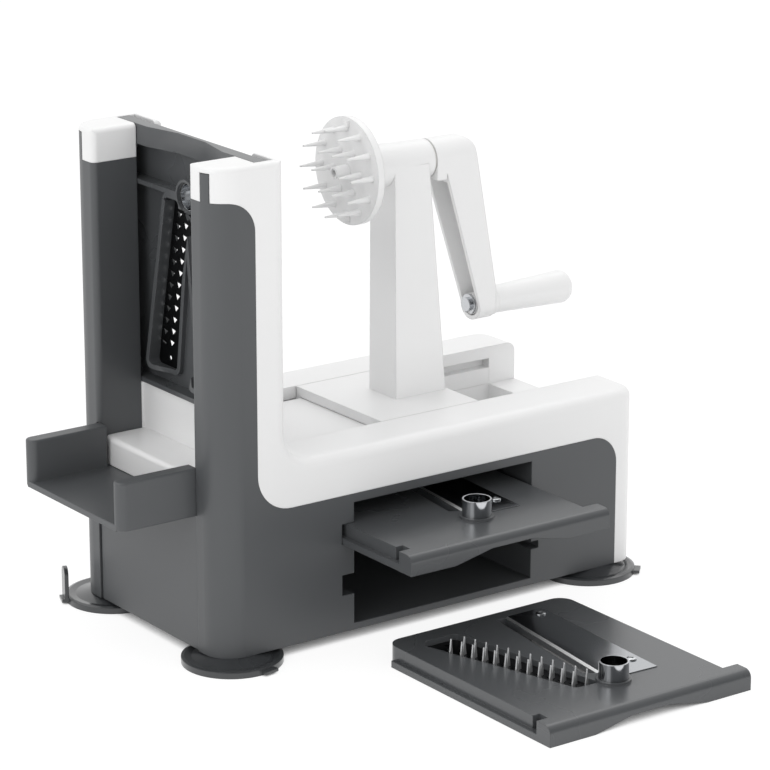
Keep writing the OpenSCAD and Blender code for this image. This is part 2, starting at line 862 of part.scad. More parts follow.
module foot_blade_front() { foot(foot_blade_x, -foot_y, -80); }
module foot_blade_back() { foot(foot_blade_x, foot_y, 160, foot_tab_h); }
module foot_crank_front() { foot(foot_crank_x, -foot_y, -45); }
module foot_crank_back() { foot(foot_crank_x, foot_y, 45); }

// Carriage

module carriage() {
    color(white) difference() {
        union() {
            block([slab_x, -slab_y, deck_z - slab_t], [slab_x + slab_len, slab_y, deck_z]);
            both_sides() {
                block([slab_x, skirt_y, runner_z], [slab_x + slab_len, slab_y, deck_z - slab_t]);
                block([slab_x, skirt_y, runner_z], [slab_x + slab_len, tongue_y, runner_top_z]);
            }
            mast(0, deck_z - over);
            rod(hub_x, hub_end_x, hub_d, hub_end_d, axis_z);
        }
        mast(mast_wall, deck_z - slab_t - over);
        difference() {
            rod(hub_x - over, hub_end_x + over, bush_d, bush_d, axis_z);
            rod(hub_x + bush_len, hub_end_x - bush_len, bush_d + over, bush_d + over, axis_z);
        }
        rod(hub_x - over, hub_end_x + over, shaft_d + 2 * mast_wall, shaft_d + 2 * mast_wall, axis_z);
    }
}

// The tapering post, or with an inset the hollow in it
module mast(inset, z0) {
    z1 = axis_z - inset * hub_d / (2 * mast_wall);
    foot_half = mast_w / 2 - inset;
    head_half = mast_w / 2 - mast_taper - inset;
    intersection() {
        across(mast_w) polygon([
            [mast_x + inset, z0], [mast_x + mast_foot - inset, z0],
            [mast_x + mast_head - inset, z1], [mast_x + inset, z1]]);
        translate([mast_x - over, 0, 0]) rotate([90, 0, 90]) linear_extrude(mast_foot + 2 * over)
            polygon([[-foot_half, z0], [foot_half, z0], [head_half, z1], [-head_half, z1]]);
    }
}

// A flanged bush that the shaft turns in
module bush(x0, x1, lip_x0, lip_x1) {
    color(grey) difference() {
        union() {
            rod(x0, x1, bush_d, bush_d, axis_z);
            rod(lip_x0, lip_x1, bush_d + 2 * bush_rim, bush_d + 2 * bush_rim, axis_z);
        }
        rod(x0 - 2 * over, x1 + 2 * over, shaft_d + 2 * turn_gap, shaft_d + 2 * turn_gap, axis_z);
    }
}

module bush_disc_side() {
    bush(hub_x, hub_x + bush_len, hub_x - bush_lip, hub_x);
}

module bush_crank_side() {
    bush(hub_end_x - bush_len, hub_end_x, hub_end_x, hub_end_x + bush_lip);
}

// Turning parts

module drive_shaft() {
    color(steel) difference() {
        rod(disc_x, shaft_end_x, shaft_d, shaft_d, axis_z);
        rod(disc_x - over, disc_x + screw_len, screw_d, screw_d, axis_z);
    }
}

module food_disc() {
    color(white) difference() {
        union() {
            rod(disc_front_x, disc_x, disc_d, disc_d, axis_z);
            rod(disc_x, hub_x - bush_lip - slide_gap, disc_boss_d, disc_boss_d, axis_z);
            rod(disc_front_x - tube_len, disc_front_x + over, tube_d, tube_d + tube_taper, axis_z);
            for (ring = [0, 1], i = [1 : ring_spikes[ring]])
                spike(ring_r_shares[ring] * disc_d / 2, (i + ring / 2) * 360 / ring_spikes[ring]);
            for (side = [-1, 1])
                block([disc_front_x - tab_h, -tab_w / 2, axis_z + side * disc_d * tab_r_share - tab_t / 2],
                      [disc_front_x + over, tab_w / 2, axis_z + side * disc_d * tab_r_share + tab_t / 2]);
        }
        rod(disc_x, hub_x, shaft_d, shaft_d, axis_z);
        rod(disc_front_x - tube_len - over, disc_front_x, tube_d - 2 * tube_wall, tube_d - 2 * tube_wall, axis_z);
        rod(disc_front_x - over, disc_x + over, screw_d, screw_d, axis_z);
    }
}

// One spike at a radius and an angle on the disc
module spike(r, angle) {
    translate([disc_front_x + over, 0, axis_z]) rotate([angle, 0, 0]) translate([0, 0, r])
        rotate([0, -90, 0]) cylinder(h = spike_len + over, d1 = spike_d, d2 = spike_d * spike_tip_share, $fn = 24);
}

// The screw that holds the disc to the shaft
module disc_screw() {
    head_d = tube_d - 2 * tube_wall - turn_gap;
    color(steel) {
        rod(disc_front_x - screw_head_h, disc_front_x, head_d, head_d, axis_z);
        rod(disc_front_x, disc_x + screw_len - over, screw_d, screw_d, axis_z);
    }
}

// Side view of the arm, as places from its inner face and heights from the axis
module arm_side() {
    foot_z = -throw - arm_end_d / 2;
    translate([arm_x, axis_z]) difference() {
        polygon([
            [0, arm_d / 2], [arm_hub_len, arm_d / 2], [arm_hub_len, arm_d / 2 - arm_round],
            [arm_hub_len + arm_lean, -throw + arm_end_d / 2], [arm_hub_len + arm_lean, foot_z],
            [arm_inner_lean, foot_z], [arm_inner_lean, -throw], [arm_neck, -arm_d / 3], [arm_neck, -arm_d / 2],
            [0, -arm_d / 2]]);
        translate([arm_hub_len - arm_round, arm_d / 2 - arm_round]) corner_waste(arm_round);
    }
}

// Side view of the hollow in the arm, which opens towards the post
module arm_hollow_side() {
    foot_z = -throw - arm_end_d / 2;
    back = arm_hub_len + arm_lean - arm_wall - arm_ease;
    translate([arm_x, axis_z]) polygon([
        [-over, -arm_d / 2 - arm_wall], [arm_hub_len - arm_wall, -arm_d / 2 - arm_wall],
        [back, -throw + arm_end_d / 2], [back, foot_z], [-over, foot_z]]);
}

// Front view of the arm, a bar that narrows towards the grip
module arm_front(inset) {
    top_r = arm_d / 2 - inset;
    end_r = arm_end_d / 2 - inset;
    slope = (top_r - end_r) / throw;
    tilt = sqrt(1 - slope * slope);
    top_side_r = top_r - corner_proud;
    end_side_r = end_r - corner_proud;
    circle(top_r);
    translate([0, -throw]) circle(end_r);
    polygon([[-top_side_r * tilt, -top_side_r * slope], [top_side_r * tilt, -top_side_r * slope],
             [end_side_r * tilt, -throw - end_side_r * slope],
             [-end_side_r * tilt, -throw - end_side_r * slope]]);
}

module arm_bar(inset) {
    translate([arm_x - over, 0, axis_z]) rotate([90, 0, 90]) linear_extrude(arm_hub_len + arm_lean + 2 * over)
        arm_front(inset);
}

module crank_arm() {
    pin_boss_d = pin_d + 2 * pin_boss_wall;
    color(white) difference() {
        union() {
            difference() {
                intersection() {
                    arm_bar(0);
                    across(arm_d + 2 * over) arm_side();
                }
                intersection() {
                    arm_bar(arm_wall);
                    across(arm_d + 2 * over) arm_hollow_side();
                }
            }
            rod(arm_in_x, arm_out_x, pin_boss_d, pin_boss_d, arm_end_z);
        }
        rod(arm_x - over, shaft_end_x, shaft_d, shaft_d, axis_z);
        rod(arm_in_x - over, arm_out_x + over, pin_d + 2 * turn_gap, pin_d + 2 * turn_gap, arm_end_z);
    }
}

// The grip, a flared handle with a collar at the arm
module grip() {
    bore_end = grip_len - 2 * grip_round;
    end_r = grip_d / 2;
    color(white) translate([grip_x, 0, arm_end_z]) rotate([0, 90, 0]) rotate_extrude() difference() {
        union() {
            polygon([[0, 0], [grip_neck_d / 2, 0], [grip_neck_d / 2, grip_collar_len],
                     [grip_neck_d / 2 - grip_waist, grip_collar_len + grip_waist],
                     [end_r, grip_len - grip_round], [end_r - grip_round, grip_len], [0, grip_len]]);
            translate([end_r - grip_round, grip_len - grip_round]) circle(grip_round);
        }
        translate([0, -over]) square([pin_d / 2, bore_end + over]);
        translate([-grip_d, -over]) square([grip_d, grip_len + 2 * over]);
    }
}

// The pin that is fixed in the grip and turns in the arm
module grip_pin() {
    groove_d = pin_d - 2 * clip_groove;
    color(steel) difference() {
        rod(arm_in_x - 2 * clip_t, grip_x + grip_len - 2 * grip_round, pin_d, pin_d, arm_end_z);
        difference() {
            rod(arm_in_x - clip_t, arm_in_x, pin_d + over, pin_d + over, arm_end_z);
            rod(arm_in_x - clip_t, arm_in_x, groove_d, groove_d, arm_end_z);
        }
    }
}

// The clip that keeps the pin in the arm
module pin_clip() {
    groove_d = pin_d - 2 * clip_groove;
    color(steel) difference() {
        rod(arm_in_x - clip_t, arm_in_x - slide_gap, clip_d, clip_d, arm_end_z);
        rod(arm_in_x - 2 * clip_t, arm_in_x + over, groove_d, groove_d, arm_end_z);
        block([arm_in_x - 2 * clip_t, -groove_d / 2 + clip_bite, arm_end_z - clip_d],
              [arm_in_x + over, groove_d / 2 - clip_bite, arm_end_z]);
    }
}

// Blade cassettes, drawn flat with the handle towards the viewer.
// X runs across the cassette, Y away from the handle's outer face and Z towards the blades.

face_z0 = -cassette_w / 2 + tongue_w;
face_z1 = cassette_w / 2 - ledge_w;
collar_wall = 1.3;
collar_h = 1.2;
collar_d = corer_d + 2 * collar_wall;
corer_seat = 2;
window_r = 2.5;
rim_w = 2.6;
notch_w = 4;
notch_len = 6;
blade_screw_head_d = 5;
blade_screw_head_h = 1;
tooth_base_share = 0.6;
handle_r = 4;
thumb_depth = 4.5;
thumb_flat_share = 0.2;
thumb_reach_share = 0.56;
comb_margin = 2.4;
row_gap = 6.5;
// Outlines as shares of the cassette's width and of its length beyond the corer
slicer_shares = [[0.075, 0.014], [0.225, 0.007], [0.262, 0.923], [0.072, 0.923], [-0.008, 0.11]];
slicer_slot_shares = [[-0.008, 0.11], [0.072, 0.923], [0.028, 0.923], [-0.052, 0.142]];
slicer_screw_shares = [[0.19, 0.142], [0.212, 0.859]];
coarse_window_shares = [[-0.071, 0.055], [-0.129, 0.055], [-0.275, 0.872], [-0.16, 0.872]];
fine_window_shares = [[-0.085, 0.039], [-0.155, 0.046], [-0.355, 0.846], [-0.335, 0.872], [-0.215, 0.872]];
coarse_row_shares = [[-0.045, 0.091], [-0.192, 0.833]];
fine_row_shares = [[-0.085, 0.052], [-0.285, 0.801]];

function placed(shares) =
    [for (s = shares) [s[0] * cassette_w, corer_setback + s[1] * (cassette_len - corer_setback)]];
// As many teeth as fit between a row's two ends
function teeth(row_shares) = floor(norm(placed(row_shares)[1] - placed(row_shares)[0]) / tooth_pitch);

// Sets a flat cassette in the posts, blades towards the disc
module standing() {
    translate([cassette_x, 0, top_z]) rotate([-90, 0, -90]) children();
}

// Sets a flat cassette in the upper storage level
module stored() {
    translate([storage_x, stored_y, upper_z]) children();
}

// Sets a flat cassette on the table
module loose() {
    translate([loose_x, loose_y, handle_drop]) children();
}

module cassette(window_shares, row_shares, rows, tooth_w) {
    rim = cassette_wall;
    half = cassette_w / 2;
    count = teeth(row_shares);
    reach_y = cassette_len - cassette_r;
    color(grey) difference() {
        union() {
            difference() {
                linear_extrude(cassette_t) cassette_outline(0);
                translate([0, 0, -over]) linear_extrude(cassette_t - face_t + over) cassette_outline(rim);
            }
            // The tongue and the ledge that run in the grooves
            block([-half, handle_t - over, 0], [face_z0 + over, reach_y, ledge_t]);
            block([face_z1 - over, handle_t - over, 0], [half, reach_y, ledge_t]);
            handle();
            // The rib and the ring behind the corer
            block([face_z0 + over, corer_setback - rim / 2, 0], [face_z1 - over, corer_setback + rim / 2, cassette_t - over]);
            translate([0, corer_setback, 0]) cylinder(h = cassette_t + collar_h, d = collar_d);
            // The rims round the windows
            if (rows > 0) linear_extrude(cassette_t - over) round_polygon(placed(window_shares), window_r + rim_w);
            linear_extrude(cassette_t - over) round_polygon(placed(slicer_slot_shares), rim_w);
        }
        translate([0, corer_setback, -over]) cylinder(h = cassette_t + 4 * over, d = corer_d);
        if (rows > 0) translate([0, 0, -over]) linear_extrude(cassette_t + 2 * over)
            round_polygon(placed(window_shares), window_r);
        block([face_z0 - over, handle_t, ledge_t], [face_z0 + notch_w, handle_t + notch_len, cassette_t + over]);
        translate([0, 0, -over]) linear_extrude(cassette_t + 2 * over) polygon(placed(slicer_slot_shares));
        translate([0, 0, cassette_t - steel_t / 2]) linear_extrude(cassette_t) polygon(placed(slicer_shares));
        for (p = placed(slicer_screw_shares)) translate([p[0], p[1], cassette_t - face_t])
            cylinder(h = 2 * face_t, d = screw_d);
        // The pocket that the comb drops into from behind
        if (rows > 0) at_row(row_shares) {
            comb_strip(count, rows, tooth_w, seam_gap / 2, -cassette_t, 0);
            for (row = [0 : rows - 1]) translate([row * tooth_pitch / 2, row * row_gap, -over])
                block([-seam_gap, -seam_gap, 0],
                      [(count - 1) * tooth_pitch + steel_t + seam_gap, tooth_w + seam_gap, cassette_t]);
        }
    }
}

module cassette_outline(inset) {
    r = cassette_r - inset;
    len = cassette_len - handle_t + over - inset;
    width = face_z1 - face_z0 - 2 * inset;
    translate([(face_z0 + face_z1) / 2, handle_t - over]) intersection() {
        rounded_rect(width, 2 * len, r);
        translate([-width / 2, 0]) square([width, len]);
    }
}

// The handle with its rounded edge and the shallow cut-out for a thumb
module handle() {
    half = cassette_w / 2;
    low = -handle_drop;
    flat = half * thumb_flat_share;
    reach = half * thumb_reach_share;
    difference() {
        rotate([90, 0, 90]) linear_extrude(cassette_w, center = true) difference() {
            translate([0, -handle_drop]) square([handle_t, handle_h]);
            translate([handle_r, cassette_t + handle_drop - handle_r]) mirror([1, 0]) corner_waste(handle_r);
        }
        translate([0, -over, low]) mirror([0, 0, 1]) rotate([90, 0, 0]) mirror([0, 0, 1])
            linear_extrude(handle_t + 2 * over) polygon([
                [-reach, over], [-reach, 0], [-flat, -thumb_depth], [flat, -thumb_depth], [reach, 0], [reach, over]]);
    }
}

// A polygon grown by a radius, so that its corners are round. Its sides lie a hair inside
// the corners, so that each side meets its corners in a clean edge.
module round_polygon(points, r) {
    n = len(points);
    side_r = r - corner_proud;
    polygon(points);
    for (i = [0 : n - 1]) translate(points[i]) {
        run = points[(i + 1) % n] - points[i];
        circle(r);
        rotate(atan2(run[1], run[0])) translate([0, -side_r]) square([norm(run), 2 * side_r]);
    }
}

// The straight blade, ground to an edge along its slot
module slicer() {
    points = placed(slicer_shares);
    edge = points[4] - points[3];
    angle = atan2(edge[1], edge[0]);
    color(steel) difference() {
        translate([0, 0, cassette_t - steel_t / 2]) linear_extrude(steel_t) polygon(points);
        // The ground bevel under the cutting edge
        translate([points[4][0], points[4][1], cassette_t - steel_t / 2]) rotate([0, 0, angle])
            rotate([-25, 0, 0]) block([-cassette_len, -2 * steel_t, -3 * steel_t], [cassette_len, 4 * steel_t, 0]);
        for (p = placed(slicer_screw_shares))
            translate([p[0], p[1], 0]) cylinder(h = 2 * cassette_t, d = screw_d);
    }
}

module slicer_screws() {
    color(steel) for (p = placed(slicer_screw_shares)) translate([p[0], p[1], cassette_t + steel_t / 2]) {
        cylinder(h = blade_screw_head_h, d = blade_screw_head_d);
        translate([0, 0, -face_t]) cylinder(h = face_t, d = screw_d);
    }
}

module corer() {
    color(steel) translate([0, corer_setback, corer_seat]) difference() {
        cylinder(h = cassette_t + corer_h - corer_seat, d = corer_d);
        translate([0, 0, -over]) cylinder(h = cassette_t + corer_h, d = corer_d - 2 * corer_wall);
    }
}

// Sets something on a row of teeth, along the row and behind the face
module at_row(row_shares) {
    points = placed(row_shares);
    run = points[1] - points[0];
    translate([points[0][0], points[0][1], cassette_t - face_t]) rotate(atan2(run[1], run[0])) children();
}

// The flat strip of a comb between two heights, with room round it
module comb_strip(count, rows, tooth_w, room, z0, z1) {
    strip_len = (count - 1 / 2) * tooth_pitch + comb_margin;
    block([-comb_margin - room, -comb_margin - room, z0],
          [strip_len + room, tooth_w + comb_margin + (rows - 1) * row_gap + room, z1]);
}

// A comb: a steel strip with triangular teeth bent up out of it, which leave
// triangular holes. A second row is set back by half a pitch.
module comb(row_shares, tooth_h, tooth_w, rows) {
    count = teeth(row_shares);
    color(steel) at_row(row_shares) difference() {
        union() {
            comb_strip(count, rows, tooth_w, 0, -steel_t, 0);
            for (row = [0 : rows - 1], i = [0 : count - 1])
                translate([(i + row / 2) * tooth_pitch, row * row_gap, 0]) tooth(tooth_h + face_t, tooth_w);
        }
        for (row = [0 : rows - 1], i = [0 : count - 1])
            translate([(i + row / 2) * tooth_pitch, row * row_gap, -steel_t - over])
                linear_extrude(steel_t + 2 * over)
                    polygon([[steel_t, 0], [steel_t, tooth_w], [steel_t + tooth_pitch * tooth_base_share, tooth_w / 2]]);
    }
}

// One tooth, a pointed plate that stands across the strip
module tooth(h, w) {
    translate([steel_t, 0, -steel_t]) rotate([0, -90, 0]) linear_extrude(steel_t)
        polygon([[0, 0], [0, w], [h + steel_t, w / 2]]);
}

module coarse_cassette() { standing() cassette(coarse_window_shares, coarse_row_shares, 2, coarse_tooth_w); }
module coarse_comb() { standing() comb(coarse_row_shares, coarse_tooth_h, coarse_tooth_w, 2); }
module coarse_slicer() { standing() slicer(); }
module coarse_corer() { standing() corer(); }
module coarse_screws() { standing() slicer_screws(); }

module ribbon_cassette() { stored() cassette(slicer_slot_shares, coarse_row_shares, 0, 0); }
module ribbon_slicer() { stored() slicer(); }
module ribbon_corer() { stored() corer(); }
module ribbon_screws() { stored() slicer_screws(); }

module fine_cassette() { loose() cassette(fine_window_shares, fine_row_shares, 2, fine_tooth_w); }
module fine_comb() { loose() comb(fine_row_shares, fine_tooth_h, fine_tooth_w, 2); }
module fine_slicer() { loose() slicer(); }
module fine_corer() { loose() corer(); }
module fine_screws() { loose() slicer_screws(); }

base_housing();
top_housing();
catch_tray();
blade_end_cover();
crank_end_cover();
guide_rail_front();
guide_rail_back();
cover_screws();
housing_screws();
foot_blade_front();
foot_blade_back();
foot_crank_front();
foot_crank_back();
carriage();
bush_disc_side();
bush_crank_side();
drive_shaft();
food_disc();
disc_screw();
crank_arm();
grip();
grip_pin();
pin_clip();
coarse_cassette();
coarse_comb();
coarse_slicer();
coarse_corer();
coarse_screws();
ribbon_cassette();
ribbon_slicer();
ribbon_corer();
ribbon_screws();
fine_cassette();
fine_comb();
fine_slicer();
fine_corer();
fine_screws();
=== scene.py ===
import math

import bmesh
import bpy
from mathutils import Matrix, Vector


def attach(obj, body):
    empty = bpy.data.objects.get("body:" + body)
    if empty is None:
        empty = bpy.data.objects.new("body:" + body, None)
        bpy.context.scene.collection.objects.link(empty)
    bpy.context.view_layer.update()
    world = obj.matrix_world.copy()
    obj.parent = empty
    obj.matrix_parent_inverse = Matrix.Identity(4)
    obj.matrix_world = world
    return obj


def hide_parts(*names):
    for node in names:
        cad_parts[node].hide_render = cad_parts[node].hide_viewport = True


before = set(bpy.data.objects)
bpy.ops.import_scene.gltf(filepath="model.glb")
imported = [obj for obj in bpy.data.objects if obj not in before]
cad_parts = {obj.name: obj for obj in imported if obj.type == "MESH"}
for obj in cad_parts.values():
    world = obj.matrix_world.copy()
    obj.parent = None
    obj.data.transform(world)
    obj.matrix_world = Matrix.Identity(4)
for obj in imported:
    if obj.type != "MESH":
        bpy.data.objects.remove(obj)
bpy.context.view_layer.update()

# Camera
# It stands a metre and a half off, a little above the posts, and looks over the blade end and
# the storage side at once. The long lens keeps the housing's uprights upright.
pitch_degrees, heading_degrees = 16.84, -35.74
camera_data = bpy.data.cameras.new("camera")
camera_data.lens = 161.12
camera_data.sensor_width = 36.0
camera_data.clip_end = 20.0
camera = bpy.data.objects.new("camera", camera_data)
camera.location = (-0.9565, -1.3506, 0.6057)
camera.rotation_euler = (
    math.radians(90 - pitch_degrees), 0.0, math.radians(heading_degrees))
bpy.context.scene.collection.objects.link(camera)
bpy.context.scene.camera = camera
bpy.context.scene.view_settings.view_transform = "Standard"


# Table and studio
# A pale table that runs out of the picture under an even white tent, as a product is lit on a
# white sweep. The tent is open on the storage side, so what shines there reflects a dimmer room.
def srgb(code):
    """An sRGB hex colour as the linear colour that a shader takes."""
    parts = [int(code[i:i + 2], 16) / 255 for i in (1, 3, 5)]
    linear = [p / 12.92 if p <= 0.04045 else ((p + 0.055) / 1.055) ** 2.4 for p in parts]
    return (*linear, 1.0)


def add_node(tree, kind, settings=None, links=None):
    """Adds a node, sets its properties and sockets, and links its inputs to others' outputs."""
    node = tree.nodes.new(kind)
    for name, value in (settings or {}).items():
        if isinstance(name, int) or name in node.inputs:
            node.inputs[name].default_value = value
        else:
            setattr(node, name, value)
    for name, (other, output) in (links or {}).items():
        tree.links.new(other.outputs[output], node.inputs[name])
    return node


def new_paint(name):
    """A material with an empty node tree, and that tree."""
    paint = bpy.data.materials.new(name)
    paint.use_nodes = True
    paint.node_tree.nodes.clear()
    return paint, paint.node_tree


white = (1.0, 1.0, 1.0, 1.0)
fill_level = 0.86
# A reflection shows the dim room where its direction's Y is under room_y, and the tent from
# tent_y up
room_y, tent_y = -0.7, 0.2
room_level = 0.10
world = bpy.data.worlds.new("studio")
bpy.context.scene.world = world
world.use_nodes = True
sky = world.node_tree
sky.nodes.clear()
rays = add_node(sky, "ShaderNodeLightPath")
compass = add_node(sky, "ShaderNodeTexCoord")
toward = add_node(sky, "ShaderNodeSeparateXYZ", None, {"Vector": (compass, "Generated")})
tent = add_node(
    sky, "ShaderNodeMapRange",
    {"From Min": room_y, "From Max": tent_y, "To Min": room_level, "To Max": 1.0},
    {"Value": (toward, "Y")})
seen = add_node(sky, "ShaderNodeBackground", {"Color": white, "Strength": 1.0})
shine = add_node(sky, "ShaderNodeBackground", {"Color": white}, {"Strength": (tent, "Result")})
fill = add_node(sky, "ShaderNodeBackground", {"Color": white, "Strength": fill_level})
in_shine = add_node(
    sky, "ShaderNodeMixShader", None, {0: (rays, "Is Glossy Ray"), 1: (fill, 0), 2: (shine, 0)})
in_view = add_node(
    sky, "ShaderNodeMixShader", None, {0: (rays, "Is Camera Ray"), 1: (in_shine, 0), 2: (seen, 0)})
add_node(sky, "ShaderNodeOutputWorld", None, {"Surface": (in_view, 0)})

table_reach = 6.0
table_mesh = bpy.data.meshes.new("table")
table_mesh.from_pydata(
    [(x * table_reach, y * table_reach, 0) for x, y in ((-1, -1), (1, -1), (1, 1), (-1, 1))],
    [], [(0, 1, 2, 3)])
table = bpy.data.objects.new("table", table_mesh)
bpy.context.scene.collection.objects.link(table)
sweep_paint, tree = new_paint("white_sweep")
rays = add_node(tree, "ShaderNodeLightPath")
matt = add_node(tree, "ShaderNodeBsdfDiffuse", {"Color": srgb("#f4f4f4")})
# The camera and shiny surfaces see the table glow. The glow fades close to the object, where
# little of the sky is open, so that its shadow stays.
glow_level, glow_share = 1.1, 0.80
shadow_reach = 0.03
shadow_full, shadow_none = 0.05, 0.45
glow = add_node(tree, "ShaderNodeEmission", {"Color": white, "Strength": glow_level})
seen_or_shone = add_node(
    tree, "ShaderNodeMath", {"operation": "MAXIMUM"},
    {0: (rays, "Is Camera Ray"), 1: (rays, "Is Glossy Ray")})
openness = add_node(
    tree, "ShaderNodeAmbientOcclusion", {"samples": 8, "Distance": shadow_reach})
unshaded = add_node(
    tree, "ShaderNodeMapRange",
    {"From Min": shadow_full, "From Max": shadow_none, "To Max": glow_share},
    {"Value": (openness, "AO")})
share = add_node(
    tree, "ShaderNodeMath", {"operation": "MULTIPLY"},
    {0: (seen_or_shone, 0), 1: (unshaded, "Result")})
table_top = add_node(
    tree, "ShaderNodeMixShader", None, {0: (share, 0), 1: (matt, 0), 2: (glow, 0)})
# From below the table is clear, so that the underside can be looked at
side = add_node(tree, "ShaderNodeNewGeometry")
clear = add_node(tree, "ShaderNodeBsdfTransparent", {"Color": white})
table_sides = add_node(
    tree, "ShaderNodeMixShader", None, {0: (side, "Backfacing"), 1: (table_top, 0), 2: (clear, 0)})
add_node(tree, "ShaderNodeOutputMaterial", None, {"Surface": (table_sides, 0)})
table_mesh.materials.append(sweep_paint)

# Each lamp: its place and size in metres, its watts, and whether it shows in what shines
lamp_aim = Vector((0, 0, 0.1))
for name, place, size, watts, shows in (
    ("front_lamp", (0.2, -1.7, 0.9), 1.2, 2.6, False),
    ("end_lamp", (-1.8, -0.6, 0.8), 1.0, 4.2, True),
    ("top_lamp_right", (0.9, 0.8, 1.9), 1.4, 4.9, True),
    ("top_lamp_left", (-0.8, 0.6, 2.0), 1.4, 6.2, True),
):
    lamp_data = bpy.data.lights.new(name, "AREA")
    lamp_data.size = size
    lamp_data.energy = watts
    lamp = bpy.data.objects.new(name, lamp_data)
    lamp.location = place
    lamp.rotation_euler = (lamp_aim - Vector(place)).to_track_quat("-Z", "Y").to_euler()
    lamp.visible_glossy = shows
    bpy.context.scene.collection.objects.link(lamp)

# Lower housing and covers
# Dark grey ABS, moulded in a spark-eroded steel tool. That leaves an even satin skin with a fine
# grain, and edges that are rounded by the cutter's corner radius.

# Where the plastic flowed into the tool, its tint and its gloss change a little, over about 70 mm
flow_scale = 14.0
gloss_change = 0.04
grain_strength, grain_depth_share = 0.12, 1 / 5


def moulded_plastic(name, colours, roughness, coat, edge_mm, grain_mm):
    """Moulded plastic: a tint between two colours, a fine grain and soft edges."""
    paint, tree = new_paint(name)
    place = add_node(tree, "ShaderNodeTexCoord")
    grain = add_node(
        tree, "ShaderNodeTexNoise", {"Scale": 1000 / grain_mm, "Detail": 3.0, "Roughness": 0.6},
        {"Vector": (place, "Object")})
    flow = add_node(
        tree, "ShaderNodeTexNoise", {"Scale": flow_scale, "Detail": 3.0},
        {"Vector": (place, "Object")})
    tint = add_node(
        tree, "ShaderNodeMixRGB", {"Color1": srgb(colours[0]), "Color2": srgb(colours[1])},
        {"Fac": (flow, 0)})
    gloss = add_node(
        tree, "ShaderNodeMapRange",
        {"To Min": roughness - gloss_change, "To Max": roughness + gloss_change},
        {"Value": (flow, 0)})
    soft = add_node(tree, "ShaderNodeBevel", {"samples": 4, "Radius": edge_mm / 1000})
    bump = add_node(
        tree, "ShaderNodeBump",
        {"Strength": grain_strength, "Distance": grain_mm * grain_depth_share / 1000},
        {"Height": (grain, 0), "Normal": (soft, 0)})
    skin = add_node(
        tree, "ShaderNodeBsdfPrincipled",
        {"IOR": 1.53, "Coat Weight": coat, "Coat Roughness": 0.12},
        {"Base Color": (tint, 0), "Roughness": (gloss, 0), "Normal": (bump, 0)})
    add_node(tree, "ShaderNodeOutputMaterial", None, {"Surface": (skin, 0)})
    return paint


def finish_nodes(paint, nodes):
    """Gives CAD nodes a material."""
    for node in nodes:
        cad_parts[node].data.materials.clear()
        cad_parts[node].data.materials.append(paint)


grey_abs = moulded_plastic("grey_abs", ("#4e5052", "#545658"), 0.40, 0.0, 0.7, 0.9)
finish_nodes(grey_abs, ("base_housing", "blade_end_cover", "crank_end_cover"))


# End panel with the catch tray
# The housing's grey ABS, as a moulding of its own. It slides down between the two columns, and
# a fine groove is left along each side of it.
def new_piece(name, mesh):
    """A new object in the scene with a mesh."""
    piece = bpy.data.objects.new(name, mesh)
    bpy.context.scene.collection.objects.link(piece)
    return piece


def closed_piece(name, points, faces):
    """A new piece of a closed mesh, with its faces turned outwards."""
    mesh = bpy.data.meshes.new(name)
    mesh.from_pydata(points, [], faces)
    shape = bmesh.new()
    shape.from_mesh(mesh)
    bmesh.ops.recalc_face_normals(shape, faces=shape.faces)
    shape.to_mesh(mesh)
    shape.free()
    return new_piece(name, mesh)


def block_between(name, near, far):
    """A closed block between two loops of as many points."""
    count = len(near)
    sides = [(i, (i + 1) % count, count + (i + 1) % count, count + i) for i in range(count)]
    return closed_piece(
        name, list(near) + list(far), sides + [range(count), range(count, 2 * count)])


def joined_up(mesh):
    """A mesh as a bmesh, in which the faces share their corners."""
    shape = bmesh.new()
    shape.from_mesh(mesh)
    bmesh.ops.remove_doubles(shape, verts=shape.verts, dist=1e-6)
    return shape


def solid_copy(node, name):
    """A copy of a CAD node as one closed mesh, to be worked on."""
    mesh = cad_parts[node].data.copy()
    shape = joined_up(mesh)
    shape.to_mesh(mesh)
    shape.free()
    mesh.name = name
    return new_piece(name, mesh)


def settle(piece):
    """Turns what a piece's modifiers make into its own plain mesh."""
    bpy.context.view_layer.update()
    graph = bpy.context.evaluated_depsgraph_get()
    made = bpy.data.meshes.new_from_object(piece.evaluated_get(graph))
    piece.modifiers.clear()
    piece.data = made


def combine(piece, operation, tool):
    """Cuts a closed tool out of a piece (DIFFERENCE) or joins it on (UNION), and deletes it."""
    modifier = piece.modifiers.new("combine", "BOOLEAN")
    modifier.operation = operation
    modifier.solver = "EXACT"
    modifier.object = tool
    settle(piece)
    bpy.data.objects.remove(tool)


def smooth_by_angle(piece, degrees):
    """Shades a piece smooth, apart from its sharp edges, with its flat faces kept flat."""
    limit = math.radians(degrees)
    shape = bmesh.new()
    shape.from_mesh(piece.data)
    for face in shape.faces:
        face.smooth = True
    for edge in shape.edges:
        edge.smooth = len(edge.link_faces) == 2 and edge.calc_face_angle() < limit
    shape.to_mesh(piece.data)
    shape.free()
    modifier = piece.modifiers.new("flat_faces", "WEIGHTED_NORMAL")
    modifier.keep_sharp = True
    modifier.weight = 100
    settle(piece)


def stand_for(piece, node, body, paint):
    """Finishes a worked copy and puts it in its CAD node's place."""
    smooth_by_angle(piece, degrees=32)
    piece.data.materials.clear()
    piece.data.materials.append(paint)
    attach(piece, body)
    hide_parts(node)


